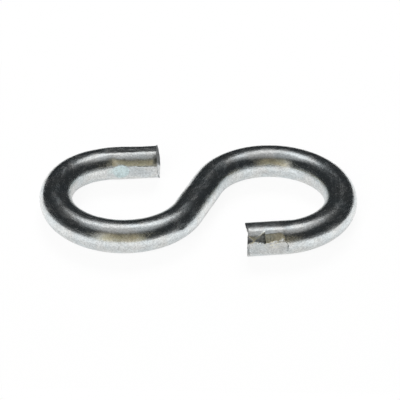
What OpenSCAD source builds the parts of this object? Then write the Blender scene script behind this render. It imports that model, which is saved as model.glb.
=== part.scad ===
// S hook bent from one length of round wire, lying flat on the surface z = 0.
// +X runs along the hook's length, +Y to its far side, and the two loops lie left and right of the middle.
// End A is the free end of the left loop, and end B the free end of the right loop.

/* [Wire] */
// Diameter of the wire
wire_d = 6; // [3:0.1:8]

/* [Loops] */
// Radius of both loops, at the middle of the wire
loop_r = 12.6; // [11:0.1:20]
// Angle between the diagonal and the hook's length
diagonal_angle = 68.7; // [55:0.1:80]
// Straight length of the diagonal, between the two loops
diagonal_length = 10.2; // [6:0.1:20]

/* [End A] */
// Radius of the last stretch of bend, at the middle of the wire
a_closing_r = 10.2; // [8:0.1:14]
// Angle at which the straight tail opens away from the hook's length
a_opening = 6.7; // [0:0.1:15]
// Straight length of the tail, at the middle of the wire
a_tail = 9.3; // [5:0.1:13]
// Angle by which the cut faces the near side
a_cut_turn = 11; // [-20:1:20]
// Angle by which the cut leans back towards its top
a_cut_tilt = -3.5; // [-15:0.5:15]
// Depth of the flat that the bending clamp left
a_flat_depth = 0.18; // [0.05:0.01:0.6]
// Distance from the bend to the start of that flat
a_flat_start = 3.5; // [0.5:0.1:4.5]

/* [End B] */
// Radius of the last stretch of bend, at the middle of the wire
b_closing_r = 12.6; // [8:0.1:16]
// Angle at which the straight tail opens away from the hook's length
b_opening = 7.9; // [0:0.1:15]
// Straight length of the tail, at the middle of the wire
b_tail = 6.4; // [5.5:0.1:11]
// Angle by which the cut faces away from the near side
b_cut_turn = 11; // [-20:1:20]
// Angle of the overhanging lip along the top of the cut
b_lip_tilt = 30; // [20:1:40]
// Distance by which the lip starts behind the cut, at the middle of the wire
b_lip_setback = 1.1; // [0.9:0.05:1.6]
// Depth of the flat that the bending clamp left
b_flat_depth = 0.28; // [0.05:0.01:0.6]
// Distance before the bend's end at which that flat starts
b_flat_start = 0.3; // [0.2:0.05:1]

/* [Pinch mark on end B] */
// Distance from the cut's near edge to the point where the two nicks meet
pinch_back = 1.1; // [0.8:0.05:1.8]
// Height of the pinch mark, as an angle round the wire from its near side
pinch_angle = 34; // [20:1:50]
// Length of the nick that runs back from the meeting point
long_nick_length = 1.9; // [1:0.1:2.5]
// Slope at which that nick goes in
long_nick_slope = 13; // [6:1:20]
// Slope at which the nick towards the cut goes in
short_nick_slope = 32; // [15:1:45]
// Half of the angle between the flanks of the long nick
long_nick_half_angle = 66; // [50:1:75]
// Half of the angle between the flanks of the short nick
short_nick_half_angle = 45; // [35:1:60]

/* [Hidden] */
$fn = 96;
wire_r = wire_d / 2;
diagonal_half = diagonal_length / 2;

// Each loop keeps its full radius for half a turn from the diagonal, and then its closing bend follows
half_turn = 180;
a_closing_sweep = diagonal_angle - a_opening;
b_closing_sweep = diagonal_angle - b_opening;

// A straight tail is a hair thinner than the bend that carries it, and starts a little way inside it
tail_ease = 0.01;
tail_lap = 0.1;

// A tool that cuts the wire is this long or wide, more than what it cuts
reach = 2 * wire_d;

// Height of a flat point above the hook's length, for a point given along and across the diagonal
function rise(along, across) = along * sin(diagonal_angle) + across * cos(diagonal_angle);

// Where the flat of end B lies off the wire's middle, and how far the cut reaches along it
b_flat_side = wire_r - b_flat_depth;
b_near_edge = b_tail + b_flat_side * tan(b_cut_turn);

// How far the far side of the right loop and the near side of end B stand from the middle of the diagonal
loop_edge = rise(diagonal_half, -loop_r) + loop_r + wire_r;
tail_edge = -rise(diagonal_half, b_closing_r - 2 * loop_r)
    + (b_closing_r + b_flat_side) * cos(b_opening) + b_near_edge * sin(b_opening);
middle_shift = (max(loop_edge, tail_edge) - loop_edge) / 2;

// A straight stretch of wire along +X
module straight(length, d = wire_d) {
    rotate([0, 90, 0])
        cylinder(d = d, h = length);
}

// A bend to the right that starts at the origin along +X
module bend(r, sweep) {
    translate([0, -r, 0])
        rotate_extrude(angle = sweep, start = 90 - sweep)
            translate([r, 0])
                circle(d = wire_d);
}

// Moves what follows to the end of such a bend
module past_bend(r, sweep) {
    translate([0, -r, 0])
        rotate([0, 0, -sweep])
            translate([0, r, 0])
                children();
}

// Everything beyond a slanted plane that crosses the wire at this distance
module beyond(distance, turn, tilt) {
    translate([distance, 0, 0])
        rotate([0, tilt, -turn])
            translate([0, -reach, -reach])
                cube(2 * reach);
}

// A wedge whose edge starts on the wire's surface at the origin, and goes in as it runs along +X
module nick(length, slope, half_angle) {
    side = wire_d;
    rotate([0, 0, -slope])
        rotate([0, 90, 0])
            linear_extrude(height = length)
                polygon([[0, 0], [-side * tan(half_angle), side], [side * tan(half_angle), side]]);
}

// The shallow V-shaped pinch mark: a long nick that runs back, and a short one that opens into the cut
module pinch_mark() {
    translate([b_near_edge - pinch_back, 0, 0])
        rotate([pinch_angle, 0, 0])
            translate([0, wire_r, 0]) {
                mirror([1, 0, 0])
                    nick(long_nick_length, long_nick_slope, long_nick_half_angle);
                nick(reach, short_nick_slope, short_nick_half_angle);
            }
}

// The slanted cut of end A, and the flat on the inner side of its tail
module cuts_a() {
    beyond(a_tail, a_cut_turn, a_cut_tilt);
    translate([a_flat_start, -wire_r + a_flat_depth - reach, -reach])
        cube([a_tail + reach, reach, 2 * reach]);
}

// The cut of end B with its overhanging lip, the flat on the outer side of its tail, and the pinch mark
module cuts_b() {
    intersection() {
        beyond(b_tail, b_cut_turn, 0);
        beyond(b_tail - b_lip_setback, 0, b_lip_tilt);
    }
    translate([-b_flat_start, b_flat_side, -reach])
        cube([b_tail + reach, reach, 2 * reach]);
    pinch_mark();
}

// Moves what follows to the start of a tail, along its direction
module at_tail(closing_r, closing_sweep) {
    translate([diagonal_half, 0, 0])
        past_bend(loop_r, half_turn)
            past_bend(closing_r, closing_sweep)
                children();
}

// A loop that starts at the right end of the diagonal, its closing bend and its tail before the cut
module loop(closing_r, closing_sweep, tail) {
    translate([diagonal_half, 0, 0]) {
        bend(loop_r, half_turn);
        past_bend(loop_r, half_turn)
            bend(closing_r, closing_sweep);
    }
    at_tail(closing_r, closing_sweep)
        translate([-tail_lap, 0, 0])
            straight(tail_lap + tail + wire_d, wire_d - 2 * tail_ease);
}

module left_loop() {
    rotate([0, 0, half_turn])
        difference() {
            loop(a_closing_r, a_closing_sweep, a_tail);
            at_tail(a_closing_r, a_closing_sweep)
                cuts_a();
        }
}

module right_loop() {
    difference() {
        loop(b_closing_r, b_closing_sweep, b_tail);
        at_tail(b_closing_r, b_closing_sweep)
            cuts_b();
    }
}

module diagonal() {
    translate([-diagonal_half, 0, 0])
        straight(diagonal_length);
}

// The whole wire is one piece, and it lies on the surface
module s_hook() {
    color([0.72, 0.74, 0.76])
        translate([0, middle_shift, wire_r])
            rotate([0, 0, diagonal_angle]) {
                diagonal();
                left_loop();
                right_loop();
            }
}

s_hook();
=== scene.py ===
"""Open S hook bent from one round zinc-plated wire, lying on a white studio floor."""

import math

import bmesh
import bpy
from bpy.props import FloatProperty, FloatVectorProperty, PointerProperty
from bpy.types import Operator, Panel, PropertyGroup
from mathutils import Matrix, Vector, noise


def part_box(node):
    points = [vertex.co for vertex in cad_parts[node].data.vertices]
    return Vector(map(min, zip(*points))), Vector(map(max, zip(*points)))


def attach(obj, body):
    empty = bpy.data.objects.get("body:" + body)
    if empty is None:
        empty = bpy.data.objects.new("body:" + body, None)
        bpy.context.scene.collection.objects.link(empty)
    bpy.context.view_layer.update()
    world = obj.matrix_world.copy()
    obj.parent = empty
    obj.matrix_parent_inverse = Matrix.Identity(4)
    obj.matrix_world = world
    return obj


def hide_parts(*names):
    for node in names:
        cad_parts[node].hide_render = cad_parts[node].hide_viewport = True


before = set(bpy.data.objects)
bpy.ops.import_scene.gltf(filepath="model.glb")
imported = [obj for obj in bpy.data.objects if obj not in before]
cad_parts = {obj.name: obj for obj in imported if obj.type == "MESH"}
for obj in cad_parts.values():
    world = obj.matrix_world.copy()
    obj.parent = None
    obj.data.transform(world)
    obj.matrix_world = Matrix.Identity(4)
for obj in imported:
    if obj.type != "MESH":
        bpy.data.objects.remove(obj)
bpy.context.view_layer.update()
CAD_LOW, CAD_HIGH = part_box("s_hook")

bl_info = {
    "name": "S Hook",
    "version": (1, 0, 0),
    "blender": (4, 5, 0),
    "location": "View3D > Sidebar > S Hook",
    "description": "Builds an open S hook from one bent round wire, with its studio stage",
    "category": "Add Mesh",
}

MM = 0.001
MICROMETRE = 0.001 * MM
HALF_TURN = math.pi
UP = Vector((0, 0, 1))

# How finely the wire is divided: round it, along its bends and tails, and across its cut ends
RING_SEGMENTS = 144
BEND_STEP = 0.45 * MM
TAIL_STEP = 0.09 * MM
CAP_RINGS = 24
WELD = MICROMETRE

# Each tail's marks reach this far back into its bend
MARKED_BEND = 3 * MM

# Brings the noise function's values to about -1 and 1
NOISE_GAIN = 1.6

# Edges that are steeper than this stay sharp
SHARP_EDGE = math.radians(32)

# Each lamp's name, place, target, size, radiance and whether the metal mirrors it
LAMPS = (
    ("top_box", (0, 0.36, 1.0), (0, 0.1, 0), (0.9, 0.5), 0.62, True),
    ("back_fill", (0, 0.8, 0.85), (0, 0, 0), (0.6, 0.4), 11.0, False),
    ("front_fill", (-0.5, -1.2, 1.2), (0, 0, 0), (1.0, 1.0), 5.4, False),
)

# The two nicks of the pinch mark start at one point of the wire, at this angle round it. Each has
# the angles of its top edge, its groove and its foot where it ends, and its groove's depth there
NICK_APEX = 30
LONG_NICK = (54, 22, 18, 0.42)
SHORT_NICK = (50, 34, 20, 0.6)

# The attribute that holds where each point would lie if the wire were still straight
PLACE = "wire_place"

# The attributes that say how far the surface is marked in each way, from 0 to 1. The highlight one
# holds painted highlights, and the cut one holds painted shade besides bare cut steel
MARKS = ("pressed", "polished", "painted_highlight", "cut")

# What all lengths, fine depths, angles and colours have in common
LENGTH = {"precision": 4, "subtype": "DISTANCE", "unit": "LENGTH"}
FINE_DEPTH = {"precision": 5, "subtype": "DISTANCE", "unit": "LENGTH"}
ANGLE = {"subtype": "ANGLE", "unit": "ROTATION"}
COLOUR = {"min": 0, "max": 1, "size": 3, "subtype": "COLOR"}


class SHookWire(PropertyGroup):
    """Sizes of the bent wire"""

    wire_diameter: FloatProperty(
        name="Wire diameter",
        description="Diameter of the round wire",
        default=CAD_HIGH.z - CAD_LOW.z,
        min=3 * MM,
        max=8 * MM,
        **LENGTH,
    )
    loop_radius: FloatProperty(
        name="Loop radius",
        description="Radius of both loops, at the middle of the wire",
        default=12.6 * MM,
        **LENGTH,
    )
    diagonal_angle: FloatProperty(
        name="Diagonal angle",
        description="Angle between the diagonal and the hook's length",
        default=math.radians(68.7),
        **ANGLE,
    )
    diagonal_length: FloatProperty(
        name="Diagonal length",
        description="Straight length of the diagonal, between the two loops",
        default=10.2 * MM,
        **LENGTH,
    )
    a_closing_radius: FloatProperty(
        name="End A closing radius",
        description="Radius of the last stretch of bend before end A",
        default=10.2 * MM,
        **LENGTH,
    )
    a_opening: FloatProperty(
        name="End A opening",
        description="Angle at which the tail of end A opens away from the hook's length",
        default=math.radians(6.7),
        **ANGLE,
    )
    a_tail: FloatProperty(
        name="End A tail",
        description="Straight length of the tail of end A",
        default=9.3 * MM,
        **LENGTH,
    )
    b_closing_radius: FloatProperty(
        name="End B closing radius",
        description="Radius of the last stretch of bend before end B",
        default=12.6 * MM,
        **LENGTH,
    )
    b_opening: FloatProperty(
        name="End B opening",
        description="Angle at which the tail of end B opens away from the hook's length",
        default=math.radians(7.9),
        **ANGLE,
    )
    b_tail: FloatProperty(
        name="End B tail",
        description="Straight length of the tail of end B",
        default=6.4 * MM,
        **LENGTH,
    )


class SHookEnds(PropertyGroup):
    """Sizes of the cut ends and of the marks that bending left on them"""

    a_cut_turn: FloatProperty(
        name="End A cut turn",
        description="Angle by which the cut of end A faces the near side",
        default=math.radians(8.2),
        **ANGLE,
    )
    a_cut_tilt: FloatProperty(
        name="End A cut tilt",
        description="Angle by which the cut of end A leans back towards its top",
        default=math.radians(-6.3),
        **ANGLE,
    )
    a_flat_depth: FloatProperty(
        name="End A flat depth",
        description="Depth of the flat that the bending clamp left on end A",
        default=0.18 * MM,
        **FINE_DEPTH,
    )
    a_flat_start: FloatProperty(
        name="End A flat start",
        description="Distance from the bend to the start of that flat",
        default=3.6 * MM,
        **LENGTH,
    )
    b_cut_turn: FloatProperty(
        name="End B cut turn",
        description="Angle by which the cut of end B faces away from the near side",
        default=math.radians(11),
        **ANGLE,
    )
    b_lip_tilt: FloatProperty(
        name="End B lip tilt",
        description="Angle of the overhanging lip along the top of the cut",
        default=math.radians(30),
        **ANGLE,
    )
    b_lip_setback: FloatProperty(
        name="End B lip setback",
        description="Distance by which the lip starts behind the cut",
        default=1.1 * MM,
        **LENGTH,
    )
    b_flat_depth: FloatProperty(
        name="End B flat depth",
        description="Depth of the flat that the bending clamp left on end B",
        default=0.28 * MM,
        **FINE_DEPTH,
    )
    b_flat_start: FloatProperty(
        name="End B flat start",
        description="Distance before the bend's end at which that flat starts",
        default=0.3 * MM,
        **LENGTH,
    )
    pinch_back: FloatProperty(
        name="Pinch setback",
        description="Distance from the cut's near edge to the point where the two nicks meet",
        default=1.1 * MM,
        **LENGTH,
    )
    long_nick_length: FloatProperty(
        name="Long nick length",
        description="Length of the nick that runs back from the meeting point",
        default=2.15 * MM,
        **LENGTH,
    )


class SHookFinish(PropertyGroup):
    """Colours of the plated wire, and the tint of its painted highlights"""

    zinc_blue: FloatVectorProperty(
        name="Blue zinc",
        description="Colour of the bright zinc plating where it is bluest",
        default=(0.79, 0.84, 0.86),
        **COLOUR,
    )
    zinc_warm: FloatVectorProperty(
        name="Warm zinc",
        description="Colour of the bright zinc plating where it is warmest",
        default=(0.84, 0.85, 0.84),
        **COLOUR,
    )
    polish: FloatVectorProperty(
        name="Polish tint",
        description="Tint of the mark that the bending former polished",
        default=(0.79, 0.89, 0.885),
        **COLOUR,
    )
    # Painted highlight: a warm tint for the painted highlights along the torn edge of end B's flat
    # and on its crease
    stain: FloatVectorProperty(
        name="Stain tint",
        description="Warm tint of the plating along the torn edge of end B's flat",
        default=(1.0, 0.95, 0.8),
        **COLOUR,
    )


class SHookStage(PropertyGroup):
    """Colours and light levels of the studio"""

    floor: FloatVectorProperty(
        name="Floor",
        description="Colour of the studio floor",
        default=(0.95, 0.95, 0.95),
        **COLOUR,
    )
    table_margin: FloatProperty(
        name="Table margin",
        description="Width of the white table beyond the hook on each side",
        default=36 * MM,
        subtype="DISTANCE",
        unit="LENGTH",
    )
    room: FloatVectorProperty(
        name="Room",
        description="Colour of the dim room that the metal mirrors",
        default=(0.027, 0.03, 0.032),
        **COLOUR,
    )
    ceiling: FloatProperty(
        name="Ceiling",
        description="Brightness of the ceiling over the stage",
        default=0.5,
        min=0,
        max=1,
    )
    low_glow: FloatProperty(
        name="Low glow",
        description="Brightness of the haze just over the horizon in front",
        default=0.16,
        min=0,
        max=1,
    )
    front: FloatVectorProperty(
        name="Front wall",
        description="Colour of the warm wall in front of the stage",
        default=(0.56, 0.5, 0.345),
        **COLOUR,
    )
    strip: FloatVectorProperty(
        name="Bright strip",
        description="Colour of the bright strip along the left edge of the front wall",
        default=(0.66, 0.66, 0.66),
        **COLOUR,
    )


def ahead(length):
    """Moves along a straight stretch of wire that starts along +X."""
    return Matrix.Translation((length, 0, 0))


def round_bend(radius, sweep):
    """Moves along a bend that starts along +X. A sweep to the left is positive."""
    side = math.copysign(radius, sweep)
    return (
        Matrix.Translation((0, side, 0))
        @ Matrix.Rotation(sweep, 4, "Z")
        @ Matrix.Translation((0, -side, 0))
    )


class WireRun:
    """Draws the wire out stretch by stretch. Its pose is at the last ring, with +X ahead."""

    def __init__(self, pose, radius):
        self.bm = bmesh.new()
        self.bm.verts.layers.float_vector.new(PLACE)
        self.pose = pose
        self.radius = radius
        self.along = 0.0

    def open_ring(self):
        """Starts a stretch: a ring across the wire, in a mesh of its own."""
        part = bmesh.new()
        place = part.verts.layers.float_vector.new(PLACE)
        upright = Matrix.Rotation(HALF_TURN / 2, 4, "Y")
        bmesh.ops.create_circle(
            part,
            cap_ends=False,
            radius=self.radius,
            segments=RING_SEGMENTS,
            matrix=self.pose @ upright,
        )
        into_pose = self.pose.inverted()
        for vert in part.verts:
            vert[place] = into_pose @ vert.co
            vert[place].x = self.along
        return part, place

    def join(self, part):
        mesh = bpy.data.meshes.new("stretch")
        part.to_mesh(mesh)
        part.free()
        self.bm.from_mesh(mesh)
        bpy.data.meshes.remove(mesh)

    def spin(self, length, step, centre, angle, shift):
        part, place = self.open_ring()
        count = math.ceil(length / step)
        bmesh.ops.spin(
            part,
            geom=part.verts[:] + part.edges[:],
            cent=centre,
            axis=UP,
            dvec=shift / count,
            angle=angle,
            steps=count,
            use_merge=False,
            use_normal_flip=False,
            use_duplicate=False,
        )
        for i, vert in enumerate(part.verts):
            vert[place].x = self.along + length * (i // RING_SEGMENTS) / count
        self.join(part)
        self.along += length

    def straight(self, length, step):
        shift = self.pose.to_3x3() @ Vector((length, 0, 0))
        self.spin(length, step, self.pose.translation, 0, shift)
        self.pose = self.pose @ ahead(length)

    def bend(self, radius, sweep, step):
        centre = self.pose @ Vector((0, math.copysign(radius, sweep), 0))
        self.spin(radius * abs(sweep), step, centre, sweep, Vector())
        self.pose = self.pose @ round_bend(radius, sweep)

    def cap(self, rings):
        """Closes the wire's end by rings that shrink to its middle."""
        part, place = self.open_ring()
        middle = self.pose.translation
        verts, edges = part.verts[:], part.edges[:]
        for i in range(rings - 1, 0, -1):
            shrink = i / (i + 1)
            made = bmesh.ops.extrude_edge_only(part, edges=edges)
            verts = [e for e in made["geom"] if isinstance(e, bmesh.types.BMVert)]
            edges = [e for e in made["geom"] if isinstance(e, bmesh.types.BMEdge)]
            bmesh.ops.scale(
                part,
                vec=(shrink, shrink, shrink),
                space=Matrix.Translation(-middle),
                verts=verts,
            )
            for vert in verts:
                vert[place].y *= shrink
                vert[place].z *= shrink
        for vert in verts:
            vert[place].y = vert[place].z = 0
        bmesh.ops.pointmerge(part, verts=verts, merge_co=middle)
        self.join(part)


def soft_step(low, high, value):
    """Rises smoothly from 0 at low to 1 at high."""
    t = min(max((value - low) / (high - low), 0), 1)
    return t * t * (3 - 2 * t)


def slow_step(low, high, value):
    """Rises from 0 at low to 1 at high, slowly at first."""
    return min(max((value - low) / (high - low), 0), 1) ** 2


def soft_hill(middle, reach, value):
    """Rises smoothly from 0 at either side to 1 at the middle."""
    return soft_step(reach, 0, abs(value - middle))


def soft_band(start, full, waning, end, value):
    """Rises smoothly from start to full, and falls again from waning to end."""
    return soft_step(start, full, value) * soft_step(end, waning, value)


def ragged(s, y, z, size, seed):
    """Even irregularity between -1 and 1 whose lumps are about this many millimetres across."""
    return noise.noise(Vector((s / size + seed, y / size, z / size))) * NOISE_GAIN


def lumps(s, y, z, *kinds):
    """Adds up irregularities, each given by its height, its size and its seed."""
    return sum(height * ragged(s, y, z, size, seed) for height, size, seed in kinds)


class TailPoint:
    """A point of a tail or of its cut end, in millimetres and degrees.

    Along, side and height place it on the plain wire, with the side to the left, and turn is its
    angle round that wire, from the left over the top. The cut and the marks move s, y and z.
    """

    # A cut moves only this last stretch of the tail
    EASED = 3

    # A point nearer to the wire's middle than this share of its radius is on the cut face
    FACE_SHARE = 0.99

    # A surface that is pressed in this far counts as fully pressed
    FULLY_PRESSED = 0.02

    # A plane shaves nothing off where it faces the wire's surface by less than this
    LEAST_LEAN = 0.15

    # Keeps the wire's middle out of divisions
    LEAST_REACH = 0.01

    def __init__(self, along, side, height, radius):
        self.along, self.side, self.height = along / MM, side / MM, height / MM
        self.s, self.y, self.z = self.along, self.side, self.height
        self.radius = radius / MM
        self.reach = math.hypot(self.side, self.height)
        self.turn = math.degrees(math.atan2(self.height, self.side))
        self.cut = 1.0 if self.reach < self.FACE_SHARE * self.radius else 0.0
        self.pressed = 0.0
        self.polished = 0.0
        self.painted_highlight = 0.0

    def near_rim(self, width):
        """Rises from 0 to 1 over the last stretch of the cut face towards its rim."""
        return soft_step(self.radius - width, self.radius, self.reach)

    def ease_to_cut(self, cut, tail):
        """Slides the last stretch along the wire, so that its end lies on the cut surface."""
        start = tail - self.EASED
        if self.s > start:
            self.s = start + (self.s - start) * (cut - start) / (tail - start)

    def press(self, angle, depth, share=1.0):
        """Flattens the side that faces this angle. Returns how pressed it is there, from 0 to 1."""
        side, up = math.cos(math.radians(angle)), math.sin(math.radians(angle))
        over = self.y * side + self.z * up - (self.radius - depth)
        if over <= 0 or share <= 0:
            return 0.0
        self.y -= over * side * share
        self.z -= over * up * share
        return share * soft_step(0, self.FULLY_PRESSED, over)

    def shave(self, origin, normal):
        """Returns how far a plane cuts in here, towards the wire's middle."""
        height = (
            (self.s - origin[0]) * normal[0]
            + (self.y - origin[1]) * normal[1]
            + (self.z - origin[2]) * normal[2]
        )
        lean = (self.y * normal[1] + self.z * normal[2]) / max(self.reach, self.LEAST_REACH)
        return height / lean if height > 0 and lean > self.LEAST_LEAN else 0.0

    def sink(self, depth):
        """Moves the surface in, or out where the depth is negative."""
        share = 1 - depth / max(self.reach, self.LEAST_REACH)
        self.y *= share
        self.z *= share

    def placed(self, pose, radius):
        """Where the point lies. Behind its start the tail goes on as a bend to the right."""
        s = self.s * MM
        if s >= 0:
            pose = pose @ ahead(s)
        else:
            pose = pose @ round_bend(radius, s / radius).inverted()
        return pose @ Vector((0, self.y * MM, self.z * MM))


def on_wire(s, degrees, radius):
    """The point at this distance along the wire and this angle round it."""
    angle = math.radians(degrees)
    return Vector((s, radius * math.cos(angle), radius * math.sin(angle)))


def plane_through(a, b, c, inside):
    """A plane through three points, with its normal away from the inside point."""
    normal = (b - a).cross(c - a).normalized()
    if normal.dot(inside - a) > 0:
        normal = -normal
    return a, normal


def dent_end_a(point):
    """The bending former's dent in the near side, and the metal it squeezed up along the top."""
    s, around = point.along, point.turn % 360

    # The dent is wide where the bend ends and narrow further out
    dent_depth = 0.34
    deepens, fades, narrows = (-2.6, 0.6), (0.4, 4.2), (0.4, 1.8)
    wide_band, narrow_band = (96, 148, 215, 255), (128, 158, 158, 208)
    dent = dent_depth * (slow_step(*deepens, s) - soft_step(*fades, s))
    wide, narrow = soft_band(*wide_band, around), soft_band(*narrow_band, around)
    point.y += dent * (wide + (narrow - wide) * soft_step(*narrows, s))

    # The far top stands up beside it, and a little less towards the cut
    full_height, lost_height = 0.17, 0.12
    rises, falls, far_top = (-2.5, 1.2), (2.2, 6.5), (52, 50)
    height = soft_step(*rises, s) * (full_height - lost_height * soft_step(*falls, s))
    point.sink(-height * soft_hill(*far_top, point.turn))


def flatten_top_of_end_a(point):
    """The top pressed slightly flat, with slanting streaks beside it. Returns how marked it is."""
    s, y, z = point.along, point.side, point.height
    around = point.turn % 360

    streak_width, streak_length, streak_seed, streak_relief = 0.3, 1.6, 9, 0.03
    streaks_start, streaks_band = (0.2, 2.5), (100, 106, 124, 140)
    arc = point.radius * math.radians(around)
    streaks = Vector(((s - arc) / streak_width, (s + arc) / streak_length, streak_seed))
    streaked = soft_step(*streaks_start, s) * soft_band(*streaks_band, around)
    point.sink(streak_relief * noise.noise(streaks) * streaked)

    flat_angle, flat_depth, flat_lumps, flat_start = 94, 0.055, (0.02, 0.8, 9), (-2.5, 0.5)
    marked_share = 0.5
    depth = flat_depth + lumps(s, y, z, flat_lumps)
    pressed = point.press(flat_angle, depth, soft_step(*flat_start, s))
    return marked_share * max(pressed, streaked)


def flatten_side_of_end_a(point, ends):
    """The marks on the near side of end A. Returns how pressed it is there."""
    s, y, z = point.along, point.side, point.height
    flat_start = ends.a_flat_start / MM

    # The bending former left a smooth oval mark
    mark_angle, mark_depth, mark_middle, overlap = 178, 0.43, 1.7, 0.15
    behind, beyond = 2.9, flat_start + overlap - mark_middle
    polish_start = (-1.6, 1.8)
    half = beyond if s > mark_middle else behind
    oval = mark_depth * (1 - ((s - mark_middle) / half) ** 2)
    if oval > 0 and point.press(mark_angle, oval) > 0:
        point.polished = soft_step(*polish_start, s)

    # The clamp left a rougher flat beyond it, shallower towards the cut and with a bowed edge
    flat_angle, flat_lumps = 180, ((0.022, 0.4, 11), (0.015, 0.9, 5))
    shallowing, shallow_start = 0.09, (3.8, 7.5)
    edge_setback, edge_bow, bow_height, edge_half, edge_lumps = 0.1, 0.3, 1.2, 0.12, (0.08, 0.7, 3)
    depth = ends.a_flat_depth / MM - shallowing * soft_step(*shallow_start, s)
    depth += lumps(s, y, z, *flat_lumps)
    edge = flat_start + edge_setback - edge_bow * (z / bow_height) ** 2
    edge += lumps(s, y, z, edge_lumps)
    return point.press(flat_angle, depth, soft_step(edge - edge_half, edge + edge_half, s))


def cut_end_a(point, wire, ends):
    """The slanted cut of end A: torn at its far top, smooth at its near bottom, and burred."""
    tail = wire.a_tail / MM
    radius = point.radius
    s, y, z, turn = point.along, point.side, point.height, point.turn

    # A plane with a torn grain, rolled over along its rim but for the lip at the near bottom
    rim_width, rolled_back, face_ahead = 0.35, 0.08, 0.1
    far_top, kept_at_far_top = (60, 40), 0.8
    lip_band, lip_length = (-118, 22), 0.14
    face_lumps = (0.05, 0.5, 21), (0.03, 0.2, 23)
    normal = (
        Matrix.Rotation(-ends.a_cut_turn, 3, "Z")
        @ Matrix.Rotation(ends.a_cut_tilt, 3, "Y")
        @ Vector((1, 0, 0))
    )
    rim = point.near_rim(rim_width)
    cut = tail - (normal.y * y + normal.z * z) / normal.x + face_ahead
    cut -= rolled_back * rim * rim * (1 - kept_at_far_top * soft_hill(*far_top, turn))
    cut += lumps(0, y, z, *face_lumps) + lip_length * soft_hill(*lip_band, turn) * rim

    # The face swells where it was torn and falls back where it was cut, from far top to near bottom
    up_share, far_share = 0.82, 0.57
    swelling, swollen_band, fallback, fallen_start = 0.08, (0.6, 2.4), 0.05, (-0.8, -2.0)
    slant = up_share * z + far_share * y
    cut += swelling * soft_hill(*swollen_band, slant) - fallback * soft_step(*fallen_start, slant)
    point.ease_to_cut(cut, tail)

    # The torn part is dull, and the cut part smooth but for a painted dark line of shade along its
    # rim
    smooth_share, torn_start, torn_lumps = 0.06, (-0.9, -0.3), (0.3, 0.6, 27)
    line_share, line_start, line_end = 0.8, 0.4, 0.2
    if point.cut:
        torn = soft_step(*torn_start, slant + lumps(0, y, z, torn_lumps))
        line = line_share * soft_step(radius - line_start, radius - line_end, point.reach)
        point.cut = max(smooth_share + (1 - smooth_share) * torn, line)

    # A burr stands up along the far top of the rim, and a lower one along its near bottom
    burr_length, burr_height, burr_band = 0.35, 0.16, (62, 26)
    low_height, low_band = 0.10, (-118, 20)
    raised = burr_height * soft_hill(*burr_band, turn) + low_height * soft_hill(*low_band, turn)
    point.sink(-raised * soft_step(cut - burr_length, cut, point.s) * rim)

    # The near top is worn dull just behind the cut
    # Just behind the cut, the near top is darkened by painted shade, and made rougher
    shade_band, shade_start, shade_end, shade_lumps = (140, 34), 1.0, 0.1, (0.2, 0.5, 29)
    ragged_s = point.s + lumps(s, y, z, shade_lumps)
    painted_shade = soft_hill(*shade_band, turn) * soft_step(cut - shade_start, cut - shade_end, ragged_s)
    point.cut = max(point.cut, painted_shade)


def shape_end_a(point, wire, ends):
    """Marks and cuts end A, whose near side is at an angle of 180 degrees."""
    dent_end_a(point)
    top = flatten_top_of_end_a(point)
    point.pressed = max(top, flatten_side_of_end_a(point, ends))
    cut_end_a(point, wire, ends)


def cut_end_b(point, wire, ends):
    """The cut of end B with its overhanging lip, its torn grain and its rim darkened by painted
    shade.
    """
    tail = wire.b_tail / MM
    y, z, turn = point.side, point.height, point.turn

    rim_width, rolled_back = 0.3, 0.10
    face_lumps = (0.05, 0.5, 31), (0.03, 0.2, 33)
    rim = point.near_rim(rim_width)
    face = tail + y * math.tan(ends.b_cut_turn)
    lip = tail - ends.b_lip_setback / MM + z * math.tan(ends.b_lip_tilt)
    cut = max(face, lip) - rolled_back * rim * rim + lumps(0, y, z, *face_lumps)
    point.ease_to_cut(cut, tail)

    # Painted shade darkens the rim along its top, and a little way in along its bottom
    top_band, top_start, top_end = (85, 42), 0.4, 0.1
    bottom_band, bottom_share, bottom_back, bottom_reach = (-12, 40), 0.9, 0.22, 0.16
    top = soft_hill(*top_band, turn) * soft_step(cut - top_start, cut - top_end, point.s)
    bottom = soft_hill(*bottom_band, turn) * soft_hill(cut - bottom_back, bottom_reach, point.s)
    point.cut = max(point.cut, top * rim, bottom_share * bottom * rim)


def raise_end_b(point):
    """The metal that rose round the flats' start. Returns how far it rose on the near side."""
    side_height, side_rises, side_falls = 0.17, (-1.8, 0.45), (4.6, 0.45)
    side_band = (-60, 0, 55, 100)
    top_height, top_rises, top_band = 0.08, (-2.5, -0.8), (125, 40)
    rise = side_height * slow_step(*side_rises, point.s) * soft_step(*side_falls, point.s)
    point.sink(-rise * soft_band(*side_band, point.turn))
    point.sink(-top_height * soft_hill(*top_band, point.turn) * soft_step(*top_rises, point.s))
    return rise


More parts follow.
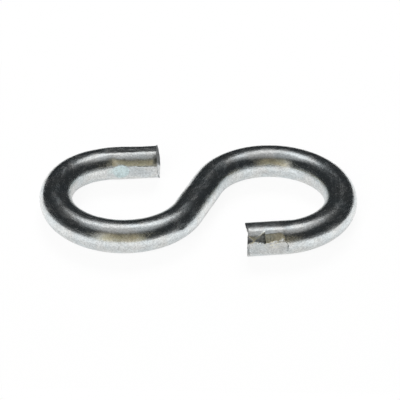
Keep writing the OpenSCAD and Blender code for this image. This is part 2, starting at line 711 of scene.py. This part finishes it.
def flatten_side_of_end_b(point, ends):
    """The lower clamp flat of end B. Returns how pressed it is there."""
    s, y, z = point.s, point.side, point.height

    # It starts behind the bend's end, with its back corner turned down
    flat_angle, start_lumps, start_half = 0, (0.05, 0.4, 41), 0.05
    corner_length, corner_height = 0.75, (0.55, 1.25)
    start = -ends.b_flat_start / MM + lumps(0, y, z, start_lumps)
    start += corner_length * soft_step(*corner_height, z)

    # It is slightly wavy, and ragged along its torn top edge
    flat_lumps = (0.02, 0.6, 43), (0.012, 0.25, 47)
    shallower, shallow_height, shallow_size, shallow_seed = 0.05, (0.3, 1.3), 0.8, 49
    torn_height, torn_squash = (1.1, 0.5), 0.3
    wave, wave_height, wave_behind, wave_beyond = 0.07, (0.3, 1.2), (3.2, 1.6), (4.2, 1.6)
    depth = ends.b_flat_depth / MM + lumps(s, y, z, *flat_lumps)
    uneven = 0.5 + 0.5 * ragged(s, 0, 0, shallow_size, shallow_seed)
    depth -= shallower * soft_step(*shallow_height, z) * uneven
    coarse, fine = lumps(s, 0, torn_squash * z, (0.16, 0.45, 45)), lumps(s, 0, z, (0.09, 0.24, 46))
    depth += soft_hill(*torn_height, z) * (coarse + fine)
    waves = soft_step(*wave_behind, s) - soft_hill(*wave_beyond, s)
    depth += wave * soft_step(*wave_height, z) * waves
    share = soft_step(start - start_half, start + start_half, s)
    pressed = point.press(flat_angle, depth, share)

    # Painted cream highlights run along the torn edge, in streaks
    cream_stretch, cream_size, cream_seed, cream_start = 0.35, 0.3, 51, (-0.2, 0.4)
    cream_share, cream_along, cream_height = 0.9, (2.4, 2.3), (-0.5, 0.3, 1.15, 1.4)
    cream = soft_step(*cream_start, ragged(cream_stretch * s, 0, z, cream_size, cream_seed))
    cream *= soft_hill(*cream_along, s) * soft_band(*cream_height, z)
    point.painted_highlight = cream_share * cream

    # Dark specks stand under that edge, and a painted dark line of shade lies where the flat starts
    speck_size, speck_seed, speck_start, speck_share = 0.3, 59, (0.3, 0.6), 0.5
    speck_height, speck_along = (0.8, 0.4), (2.2, 1.8)
    line_share, line_half, line_height = 0.8, 0.1, (-1.0, 0.4)
    if pressed:
        specks = soft_step(*speck_start, ragged(s, 0, z, speck_size, speck_seed))
        specks *= soft_hill(*speck_height, z) * soft_hill(*speck_along, s)
        line = soft_hill(start, line_half, s) * soft_step(*line_height, z)
        point.cut = max(point.cut, speck_share * specks, line_share * line)
    return pressed


def flatten_upper_side_of_end_b(point, rise, back):
    """The upper clamp flat of end B, rippled across. Returns how pressed it is there."""
    s, y, z = point.s, point.side, point.height
    flat_angle, flat_depth, flat_lumps = 31, 0.15, (0.02, 0.6, 53)
    follows_rise = 0.6
    ripple_height, ripple_length, ripple_start = 0.012, 0.5, (1.2, 2.6)
    start, full, end_length = 0.1, 1.5, 0.3
    ripple = ripple_height * math.sin(s * math.tau / ripple_length) * soft_step(*ripple_start, s)
    depth = flat_depth - follows_rise * rise + ripple + lumps(s, y, z, flat_lumps)
    return point.press(flat_angle, depth, soft_band(start, full, back, back + end_length, s))


def pinch_end_b(point, meet, back):
    """The pinch mark: a long nick that goes in backwards, and a short one open to the cut."""
    s, y, z, radius = point.s, point.side, point.height, point.radius
    lowest, highest, inmost = -20, 90, 0.5
    if s < back or point.reach <= inmost * radius or not lowest < point.turn < highest:
        return

    # Each nick is a facet and the wall that it meets in a groove. Inside, the colour is darkened:
    # dull bare steel, with painted shade deepening the recess
    short_reach, foot_ahead = 1, 0.02
    end, (top, groove, foot, groove_depth) = back, LONG_NICK
    if s > meet:
        end, (top, groove, foot, groove_depth) = meet + short_reach, SHORT_NICK
    middle = Vector((s, 0, 0))
    apex = on_wire(meet, NICK_APEX, radius)
    bottom = on_wire(end, groove, radius - groove_depth)
    facet = plane_through(apex, on_wire(end, top, radius), bottom, middle)
    wall = plane_through(apex, on_wire(end, foot, radius + foot_ahead), bottom, middle)
    depth = min(point.shave(*facet), point.shave(*wall))
    fully_darkened_depth, long_nick_darkening, long_lumps, short_nick_darkening = 0.04, 0.75, (0.25, 0.5, 57), 0.9
    if depth > 0:
        point.sink(depth)
        dull_and_shaded = long_nick_darkening + lumps(s, y, z, long_lumps) if s < meet else short_nick_darkening
        point.cut = max(point.cut, dull_and_shaded * soft_step(0, fully_darkened_depth, depth))

    # A slightly raised crease runs back and up from where the nicks meet, made pale by a painted
    # highlight
    crease_climb, crease_height, crease_share = 30, 0.05, 0.9
    raised_part, pale_part = (0.22, 0.05), (0.22, 0.08)
    if back < s < meet:
        crease = on_wire(0, NICK_APEX + crease_climb * (meet - s) / (meet - back), radius)
        off_crease = math.hypot(y - crease.y, z - crease.z)
        point.sink(-crease_height * soft_step(*raised_part, off_crease))
        pale = crease_share * soft_step(*pale_part, off_crease)
        point.painted_highlight = max(point.painted_highlight, pale)


def shape_end_b(point, wire, ends):
    """Cuts and marks end B, whose near side is at an angle of 0 degrees."""
    cut_end_b(point, wire, ends)

    # The nicks meet a little behind the cut's near edge, and the long one ends at the back
    flat_side = point.radius - ends.b_flat_depth / MM
    near_edge = wire.b_tail / MM + flat_side * math.tan(ends.b_cut_turn)
    meet = near_edge - ends.pinch_back / MM
    back = meet - ends.long_nick_length / MM

    # The top above the flats is scuffed
    scuffing, scuffed_band, scuffed_start = 1.8, (104, 40), (-0.5, 1.5)
    scuffed = scuffing * soft_hill(*scuffed_band, point.turn) * soft_step(*scuffed_start, point.s)
    rise = raise_end_b(point)
    lower = flatten_side_of_end_b(point, ends)
    upper = flatten_upper_side_of_end_b(point, rise, back)
    point.pressed = max(lower, upper, scuffed)
    pinch_end_b(point, meet, back)


def add_object(name, data):
    """Makes an object of this data and links it to the scene."""
    made = bpy.data.objects.new(name, data)
    bpy.context.scene.collection.objects.link(made)
    return made


def build_wire(wire, ends):
    """Makes the whole hook as one closed mesh and returns its object."""
    radius = wire.wire_diameter / 2
    half = wire.diagonal_length / 2
    a_sweep = wire.diagonal_angle - wire.a_opening
    b_sweep = wire.diagonal_angle - wire.b_opening

    # The hook's outline lies round the middle of the CAD box
    loop_edge = (
        half * math.sin(wire.diagonal_angle)
        - wire.loop_radius * math.cos(wire.diagonal_angle)
        + wire.loop_radius
        + radius
    )
    middle = Vector((0, CAD_HIGH.y - loop_edge, radius))
    pose = Matrix.Translation(middle) @ Matrix.Rotation(wire.diagonal_angle, 4, "Z")

    # Each tail's own pose has +X towards its end
    a_tail_pose = (
        pose
        @ Matrix.Rotation(HALF_TURN, 4, "Z")
        @ ahead(half)
        @ round_bend(wire.loop_radius, -HALF_TURN)
        @ round_bend(wire.a_closing_radius, -a_sweep)
    )

    run = WireRun(a_tail_pose @ ahead(wire.a_tail) @ Matrix.Rotation(HALF_TURN, 4, "Z"), radius)
    run.cap(CAP_RINGS)
    run.straight(wire.a_tail, TAIL_STEP)
    run.bend(wire.a_closing_radius, MARKED_BEND / wire.a_closing_radius, TAIL_STEP)
    run.bend(wire.a_closing_radius, a_sweep - MARKED_BEND / wire.a_closing_radius, BEND_STEP)
    run.bend(wire.loop_radius, HALF_TURN, BEND_STEP)
    run.straight(wire.diagonal_length, BEND_STEP)
    run.bend(wire.loop_radius, -HALF_TURN, BEND_STEP)
    run.bend(wire.b_closing_radius, MARKED_BEND / wire.b_closing_radius - b_sweep, BEND_STEP)
    run.bend(wire.b_closing_radius, -MARKED_BEND / wire.b_closing_radius, TAIL_STEP)
    b_tail_pose, b_tail_start = run.pose.copy(), run.along
    run.straight(wire.b_tail, TAIL_STEP)
    run.cap(CAP_RINGS)
    bm = run.bm
    bmesh.ops.remove_doubles(bm, verts=bm.verts, dist=WELD)
    place = bm.verts.layers.float_vector[PLACE]
    marks = {name: bm.verts.layers.float.new(name) for name in MARKS}

    # The tails take the shape of their cuts and marks
    for vert in bm.verts:
        along, side, height = vert[place]
        if along < wire.a_tail + MARKED_BEND:
            point = TailPoint(wire.a_tail - along, -side, height, radius)
            shape_end_a(point, wire, ends)
            vert.co = point.placed(a_tail_pose, wire.a_closing_radius)
        elif along > b_tail_start - MARKED_BEND:
            point = TailPoint(along - b_tail_start, side, height, radius)
            shape_end_b(point, wire, ends)
            vert.co = point.placed(b_tail_pose, wire.b_closing_radius)
        else:
            continue
        for name, layer in marks.items():
            vert[layer] = getattr(point, name)

    bmesh.ops.recalc_face_normals(bm, faces=bm.faces)
    for face in bm.faces:
        face.smooth = True

    mesh = bpy.data.meshes.new("zinc_wire")
    bm.to_mesh(mesh)
    bm.free()
    mesh.set_sharp_from_angle(angle=SHARP_EDGE)
    return add_object("s_hook_wire", mesh)


def empty_tree(owner):
    """Turns on the nodes of a material or a world, and gives back its tree, empty."""
    owner.use_nodes = True
    owner.node_tree.nodes.clear()
    return owner.node_tree


def add_node(tree, kind, inputs=(), **settings):
    """Adds a node, sets its settings, and fills or links its inputs."""
    made = tree.nodes.new(kind)
    for name, value in settings.items():
        setattr(made, name, value)
    for socket, value in dict(inputs).items():
        if isinstance(value, bpy.types.NodeSocket):
            tree.links.new(value, made.inputs[socket])
        else:
            made.inputs[socket].default_value = value
    return made


def math_node(tree, operation, *values, clamp=False):
    made = add_node(tree, "ShaderNodeMath", enumerate(values), operation=operation)
    made.use_clamp = clamp
    return made.outputs[0]


def noise_node(tree, vector, scale, detail=2.0, roughness=0.5):
    return add_node(
        tree,
        "ShaderNodeTexNoise",
        {"Vector": vector, "Scale": scale, "Detail": detail, "Roughness": roughness},
    ).outputs[0]


def ramp_node(tree, value, low, high, to_low=0.0, to_high=1.0):
    """Rises smoothly from one value to another while its input goes from low to high."""
    return add_node(
        tree,
        "ShaderNodeMapRange",
        {"Value": value, "From Min": low, "From Max": high, "To Min": to_low, "To Max": to_high},
        interpolation_type="SMOOTHSTEP",
    ).outputs[0]


def scaled_node(tree, vector, scale):
    made = add_node(tree, "ShaderNodeVectorMath", {0: vector, 1: scale}, operation="MULTIPLY")
    return made.outputs[0]


def product_node(tree, first, *others):
    for other in others:
        first = math_node(tree, "MULTIPLY", first, other)
    return first


def sum_node(tree, base, parts):
    """Adds to a base value each mask times its share."""
    for mask, share in parts:
        base = math_node(tree, "MULTIPLY_ADD", mask, share, base)
    return base


def dim_node(tree, shade, mask, share):
    """Darkens a shade by this share where the mask is 1."""
    return product_node(tree, shade, sum_node(tree, 1.0, ((mask, -share),)))


def mix_node(tree, share, one, other, blend="MIX"):
    """Mixes two colours. The node has its colours at inputs 6 and 7, and the result at output 2."""
    return add_node(
        tree,
        "ShaderNodeMix",
        {0: share, 6: one, 7: other},
        data_type="RGBA",
        blend_type=blend,
    ).outputs[2]


def scratch_group():
    """Sparse fine scratches in one direction over the unrolled wire, in millimetres."""
    streak_shape, patch_shape = (0.28, 5.5, 1), (0.22, 0.3, 1)
    threshold, amount_share, patch_share, sharpness = 0.78, 0.25, 0.2, 9.0
    tree = bpy.data.node_groups.new("scratches", "ShaderNodeTree")
    kinds = {"Unrolled": "Vector", "Angle": "Float", "Amount": "Float"}
    for name, kind in kinds.items():
        tree.interface.new_socket(name, in_out="INPUT", socket_type="NodeSocket" + kind)
    tree.interface.new_socket("Mask", in_out="OUTPUT", socket_type="NodeSocketFloat")
    given = add_node(tree, "NodeGroupInput").outputs
    turned = add_node(
        tree,
        "ShaderNodeVectorRotate",
        {"Vector": given["Unrolled"], "Angle": given["Angle"]},
        rotation_type="Z_AXIS",
    ).outputs[0]
    long, wide = scaled_node(tree, turned, streak_shape), scaled_node(tree, turned, patch_shape)
    streaks = noise_node(tree, long, scale=1.0, detail=3.0, roughness=0.6)
    patches = noise_node(tree, wide, scale=1.0, detail=1.0)
    parts = (given["Amount"], -amount_share), (patches, -patch_share)
    above = math_node(tree, "SUBTRACT", streaks, sum_node(tree, threshold, parts))
    mask = math_node(tree, "MULTIPLY", above, sharpness, clamp=True)
    add_node(tree, "NodeGroupOutput", {"Mask": mask})
    return tree


def zinc_material(finish, wire):
    """Bright zinc: mottled, finely grained and scratched, duller where tools pressed or cut it,
    with painted shade and painted highlights at the ends.
    """
    radius = wire.wire_diameter / 2 / MM
    material = bpy.data.materials.new("bright_zinc")
    tree = empty_tree(material)

    # Places on the hook and on the straight wire, in millimetres, and the four masks
    per_mm = (1 / MM,) * 3
    spot = scaled_node(tree, add_node(tree, "ShaderNodeTexCoord").outputs["Object"], per_mm)
    place = add_node(tree, "ShaderNodeAttribute", attribute_name=PLACE).outputs["Vector"]
    place = scaled_node(tree, place, per_mm)
    pressed, polished, painted_highlight, cut = (
        add_node(tree, "ShaderNodeAttribute", attribute_name=name).outputs["Fac"]
        for name in MARKS
    )

    # The wire's skin rolled out flat, with its seam along the underside
    along, side, height = add_node(tree, "ShaderNodeSeparateXYZ", {0: place}).outputs
    arc = math_node(tree, "MULTIPLY", math_node(tree, "ARCTAN2", side, height), radius)
    unrolled = add_node(tree, "ShaderNodeCombineXYZ", {0: along, 1: arc}).outputs[0]
    scratches = scratch_group()

    def scratch(angle, amount):
        inputs = {"Unrolled": unrolled, "Angle": math.radians(angle), "Amount": amount}
        return add_node(tree, "ShaderNodeGroup", inputs, node_tree=scratches).outputs[0]

    # Scratches in three directions, on the skin but not on the cut faces
    deepest, shallowest = 0.119, 0.0335
    scored = scratch(8, 0.4)
    for angle, amount in ((-38, 0.3), (64, 0.15)):
        scored = math_node(tree, "MAXIMUM", scored, scratch(angle, amount))
    reach_squared = sum_node(tree, product_node(tree, height, height), ((side, side),))
    skin_start, skin_full = (radius - deepest) ** 2, (radius - shallowest) ** 2
    scored = product_node(tree, scored, ramp_node(tree, reach_squared, skin_start, skin_full))

    # Irregularities of the plating; their scales are per millimetre
    long_haze = scaled_node(tree, place, (0.35, 1, 1))
    long_lines = scaled_node(tree, place, (0.1, 1, 1))
    haze = noise_node(tree, long_haze, scale=1.1, detail=3.0, roughness=0.6)
    haze = ramp_node(tree, haze, 0.46, 0.7)
    grain = noise_node(tree, spot, scale=3.1)
    mottle = noise_node(tree, spot, scale=0.85, detail=3.0, roughness=0.6)
    blotch = noise_node(tree, spot, scale=0.32)
    lines = noise_node(tree, long_lines, scale=2.4)

    # Tool marks and the far crest of the right loop are scuffed
    crest_middle, crest_end, crest_full = (12.5, 13.5, 7.0), 7.0, 3.5
    far = add_node(tree, "ShaderNodeVectorMath", {0: spot, 1: crest_middle}, operation="DISTANCE")
    crest = ramp_node(tree, far.outputs["Value"], crest_end, crest_full)
    scuffs = product_node(tree, scratch(52, 1.3), math_node(tree, "MAXIMUM", pressed, crest))

    # Colour: cool zinc, a shade darker in its pores, where it is dull and where shade is painted,
    # lighter and warmer where highlights are painted
    pores = ramp_node(tree, grain, 0.36, 0.6)
    shade = sum_node(tree, 0.61, ((pores, 0.2), (mottle, 0.34)))
    # Painted shade: besides bare cut steel, the cut mask darkens the nicks, the rims, the flat's
    # step and the band behind end A's cut
    shade = dim_node(tree, shade, cut, 0.82)
    # Painted highlight: lighter where the highlight mask lies
    shade = sum_node(tree, shade, ((painted_highlight, 0.24),))
    shade = dim_node(tree, shade, scuffs, 0.18)
    bluest, warmest = (*finish.zinc_blue, 1), (*finish.zinc_warm, 1)
    colour = mix_node(tree, ramp_node(tree, blotch, 0.35, 0.65), bluest, warmest)
    colour = mix_node(tree, polished, colour, (*finish.polish, 1), "MULTIPLY")
    # Painted highlight: the warm tint of those highlights
    colour = mix_node(tree, painted_highlight, colour, (*finish.stain, 1), "MULTIPLY")
    colour = mix_node(tree, 1, colour, shade, "MULTIPLY")

    # Roughness: smooth, hazier in patches, on scratches and on tool marks
    rough_parts = (
        (mottle, 0.14),
        (haze, 0.13),
        (scored, 0.15),
        (pressed, 0.1),
        (product_node(tree, scuffs, crest), 0.05),
        (cut, 0.3),
        (polished, -0.07),
    )
    rough = sum_node(tree, 0.13, rough_parts)

    # Relief, in micrometres
    relief = sum_node(tree, 0.0, ((grain, 13.0), (mottle, 18.0), (lines, 2.5), (scored, -3.0)))
    bump = {"Height": relief, "Strength": 1.0, "Distance": MICROMETRE}

    shader = add_node(
        tree,
        "ShaderNodeBsdfPrincipled",
        {
            "Base Color": colour,
            "Metallic": 1,
            "Roughness": rough,
            "Normal": add_node(tree, "ShaderNodeBump", bump).outputs[0],
        },
    )
    add_node(tree, "ShaderNodeOutputMaterial", {"Surface": shader.outputs[0]})
    return material


def floor_material(stage):
    """A white floor that camera and mirror rays see almost fully lit, with a trace of shadow."""
    seen_share, more_for_camera = 0.45, 0.47
    material = bpy.data.materials.new("studio_floor")
    tree = empty_tree(material)
    path = add_node(tree, "ShaderNodeLightPath").outputs
    seen = math_node(tree, "MAXIMUM", path["Is Camera Ray"], path["Is Glossy Ray"])
    seen = math_node(tree, "MAXIMUM", seen, path["Is Transmission Ray"])
    parts = (seen, seen_share), (path["Is Camera Ray"], more_for_camera)
    share = sum_node(tree, 0.0, parts)
    paper = add_node(tree, "ShaderNodeBsdfDiffuse", {"Color": (*stage.floor, 1)})
    glow = add_node(tree, "ShaderNodeEmission", {"Color": (1, 1, 1, 1), "Strength": 1})
    inputs = {0: share, 1: paper.outputs[0], 2: glow.outputs[0]}
    mix = add_node(tree, "ShaderNodeMixShader", inputs)
    add_node(tree, "ShaderNodeOutputMaterial", {"Surface": mix.outputs[0]})
    return material


def build_world(stage):
    """A dim room with a soft ceiling and a warm front wall. The camera sees plain white instead."""
    world = bpy.data.worlds.new("studio_room")
    tree = empty_tree(world)
    where = add_node(tree, "ShaderNodeTexCoord")
    x, y, z = add_node(tree, "ShaderNodeSeparateXYZ", {0: where.outputs["Generated"]}).outputs

    # Ranges over z are over the sine of a direction's height, and those over y lead to the back
    ceiling_range, back_range = (0.76, 0.97), (0.56, 0.85)
    glow_range, wall_top = (0.3, -0.02), (0.9, 0.6)
    to_front, to_back, back_share = (0.35, -0.3), (0.0, 0.3), 0.08

    # The ceiling, a faint glow from low in front, and a fainter one from high behind
    ceiling = ramp_node(tree, z, *ceiling_range)
    low_glow = product_node(tree, ramp_node(tree, z, *glow_range), ramp_node(tree, y, *to_front))
    behind = product_node(tree, ramp_node(tree, z, *back_range), ramp_node(tree, y, *to_back))
    parts = (ceiling, stage.ceiling), (low_glow, stage.low_glow), (behind, back_share)
    glow = sum_node(tree, 0.0, parts)

    # The warm wall in front: a place on it is given by how far it is sideways for each step ahead
    left_edge, strip_edge, right_edge = (-0.80, -0.62), (-0.45, -0.62), (0.57, 0.42)
    base_level, left_more, right_more = 0.62, 0.58, 0.3
    left_side, right_side, low_to_high = (-0.08, -0.5), (0.1, 0.45), (0.65, 0.15, 0.75, 1.08)
    least_forward = 0.001
    forward = math_node(tree, "MULTIPLY", y, -1.0)
    sideways = math_node(tree, "DIVIDE", x, math_node(tree, "MAXIMUM", forward, least_forward))
    left, right = ramp_node(tree, sideways, *left_edge), ramp_node(tree, sideways, *right_edge)
    in_front = math_node(tree, "GREATER_THAN", forward, 0.0)
    wall = product_node(tree, left, right, ramp_node(tree, z, *wall_top), in_front)

    # It is brighter towards its sides and its foot, with a neutral bright strip at its left edge
    to_left = ramp_node(tree, sideways, *left_side)
    to_right = ramp_node(tree, sideways, *right_side)
    level = sum_node(tree, base_level, ((to_left, left_more), (to_right, right_more)))
    level = product_node(tree, level, ramp_node(tree, z, *low_to_high))
    strip = product_node(tree, left, ramp_node(tree, sideways, *strip_edge), wall)
    colour = mix_node(tree, 1, (*stage.front, 1), level, "MULTIPLY")
    colour = mix_node(tree, strip, colour, (*stage.strip, 1))
    colour = mix_node(tree, wall, (*stage.room, 1), colour)
    colour = mix_node(tree, 1, colour, glow, "ADD")

    path = add_node(tree, "ShaderNodeLightPath").outputs
    dim = add_node(tree, "ShaderNodeBackground", {"Color": colour, "Strength": 1})
    white = add_node(tree, "ShaderNodeBackground", {"Color": (1, 1, 1, 1), "Strength": 1})
    inputs = {0: path["Is Camera Ray"], 1: dim.outputs[0], 2: white.outputs[0]}
    mix = add_node(tree, "ShaderNodeMixShader", inputs)
    add_node(tree, "ShaderNodeOutputWorld", {"Surface": mix.outputs[0]})
    bpy.context.scene.world = world


def soft_box(name, place, target, size, radiance, mirrored):
    """A rectangular soft light that looks at a point; its radiance is what a mirror shows of it."""
    lamp = bpy.data.lights.new(name, "AREA")
    lamp.shape = "RECTANGLE"
    lamp.size, lamp.size_y = size
    lamp.energy = radiance * math.pi * size[0] * size[1]
    holder = add_object(name, lamp)
    holder.location = place
    holder.rotation_euler = (Vector(target) - Vector(place)).to_track_quat("-Z", "Y").to_euler()
    holder.visible_glossy = mirrored


def build_camera():
    """The camera at the photograph's viewing angle."""
    distance = 369.65 * MM
    elevation = math.radians(34.459)
    roll = math.radians(0.923)
    focal_pixels = 2000.0
    image_pixels = 400.0
    aim_pixels = (198.2, 211.1)
    target = Vector((0, 0.089 * MM, 0))
    back = Vector((0, -math.cos(elevation), math.sin(elevation)))
    right = Vector((1, 0, 0))
    up = back.cross(right)
    right, up = (
        math.cos(roll) * right + math.sin(roll) * up,
        math.cos(roll) * up - math.sin(roll) * right,
    )
    looking = Matrix((right, up, back)).transposed()
    aim = Vector(
        (
            (aim_pixels[0] - image_pixels / 2) / focal_pixels,
            -(aim_pixels[1] - image_pixels / 2) / focal_pixels,
            -1,
        )
    ).normalized()
    nudge = Vector((0, 0, -1)).rotation_difference(aim).to_matrix()
    turned = looking @ nudge.transposed()
    camera = bpy.data.cameras.new("camera")
    camera.sensor_width = 36
    camera.lens = focal_pixels / image_pixels * camera.sensor_width
    camera.clip_start = 10 * MM
    camera.clip_end = 100
    holder = add_object("camera", camera)
    holder.matrix_world = Matrix.Translation(target + back * distance) @ turned.to_4x4()
    bpy.context.scene.camera = holder


class S_HOOK_OT_wire(Operator):
    """Build the bent wire with its two cut ends"""

    bl_idname = "s_hook.wire"
    bl_label = "Bent wire"

    def execute(self, context):
        scene = context.scene
        hook = build_wire(scene.s_hook_wire, scene.s_hook_ends)
        hook.data.materials.append(zinc_material(scene.s_hook_finish, scene.s_hook_wire))
        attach(hook, "root")
        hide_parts("s_hook")
        return {"FINISHED"}


class S_HOOK_OT_stage(Operator):
    """Build the floor, the lights, the room and the camera"""

    bl_idname = "s_hook.stage"
    bl_label = "Studio stage"

    def execute(self, context):
        scene = context.scene
        stage = scene.s_hook_stage
        mesh = bpy.data.meshes.new("studio_floor")
        bm = bmesh.new()
        bmesh.ops.create_grid(bm, x_segments=1, y_segments=1, size=0.5)
        table = [2 * (side + stage.table_margin) for side in CAD_HIGH.xy] + [1]
        bmesh.ops.scale(bm, vec=table, verts=bm.verts)
        bm.to_mesh(mesh)
        bm.free()
        mesh.materials.append(floor_material(stage))
        floor = add_object("studio_floor", mesh)
        build_world(stage)
        for lamp in LAMPS:
            soft_box(*lamp)
        build_camera()
        scene.view_settings.view_transform = "Standard"
        return {"FINISHED"}


class S_HOOK_PT_panel(Panel):
    """Lists the hook's operators"""

    bl_label = "S Hook"
    bl_idname = "S_HOOK_PT_panel"
    bl_space_type = "VIEW_3D"
    bl_region_type = "UI"
    bl_category = "S Hook"

    def draw(self, context):
        layout = self.layout
        layout.operator(S_HOOK_OT_wire.bl_idname)
        layout.operator(S_HOOK_OT_stage.bl_idname)


SETTINGS = {
    "s_hook_wire": SHookWire,
    "s_hook_ends": SHookEnds,
    "s_hook_finish": SHookFinish,
    "s_hook_stage": SHookStage,
}
CLASSES = (*SETTINGS.values(), S_HOOK_OT_wire, S_HOOK_OT_stage, S_HOOK_PT_panel)


def register():
    for cls in CLASSES:
        bpy.utils.register_class(cls)
    for name, group in SETTINGS.items():
        setattr(bpy.types.Scene, name, PointerProperty(type=group))


def unregister():
    for name in SETTINGS:
        delattr(bpy.types.Scene, name)
    for cls in reversed(CLASSES):
        bpy.utils.unregister_class(cls)


def main():
    register()
    bpy.ops.s_hook.wire()
    bpy.ops.s_hook.stage()


if __name__ == "__main__":
    main()
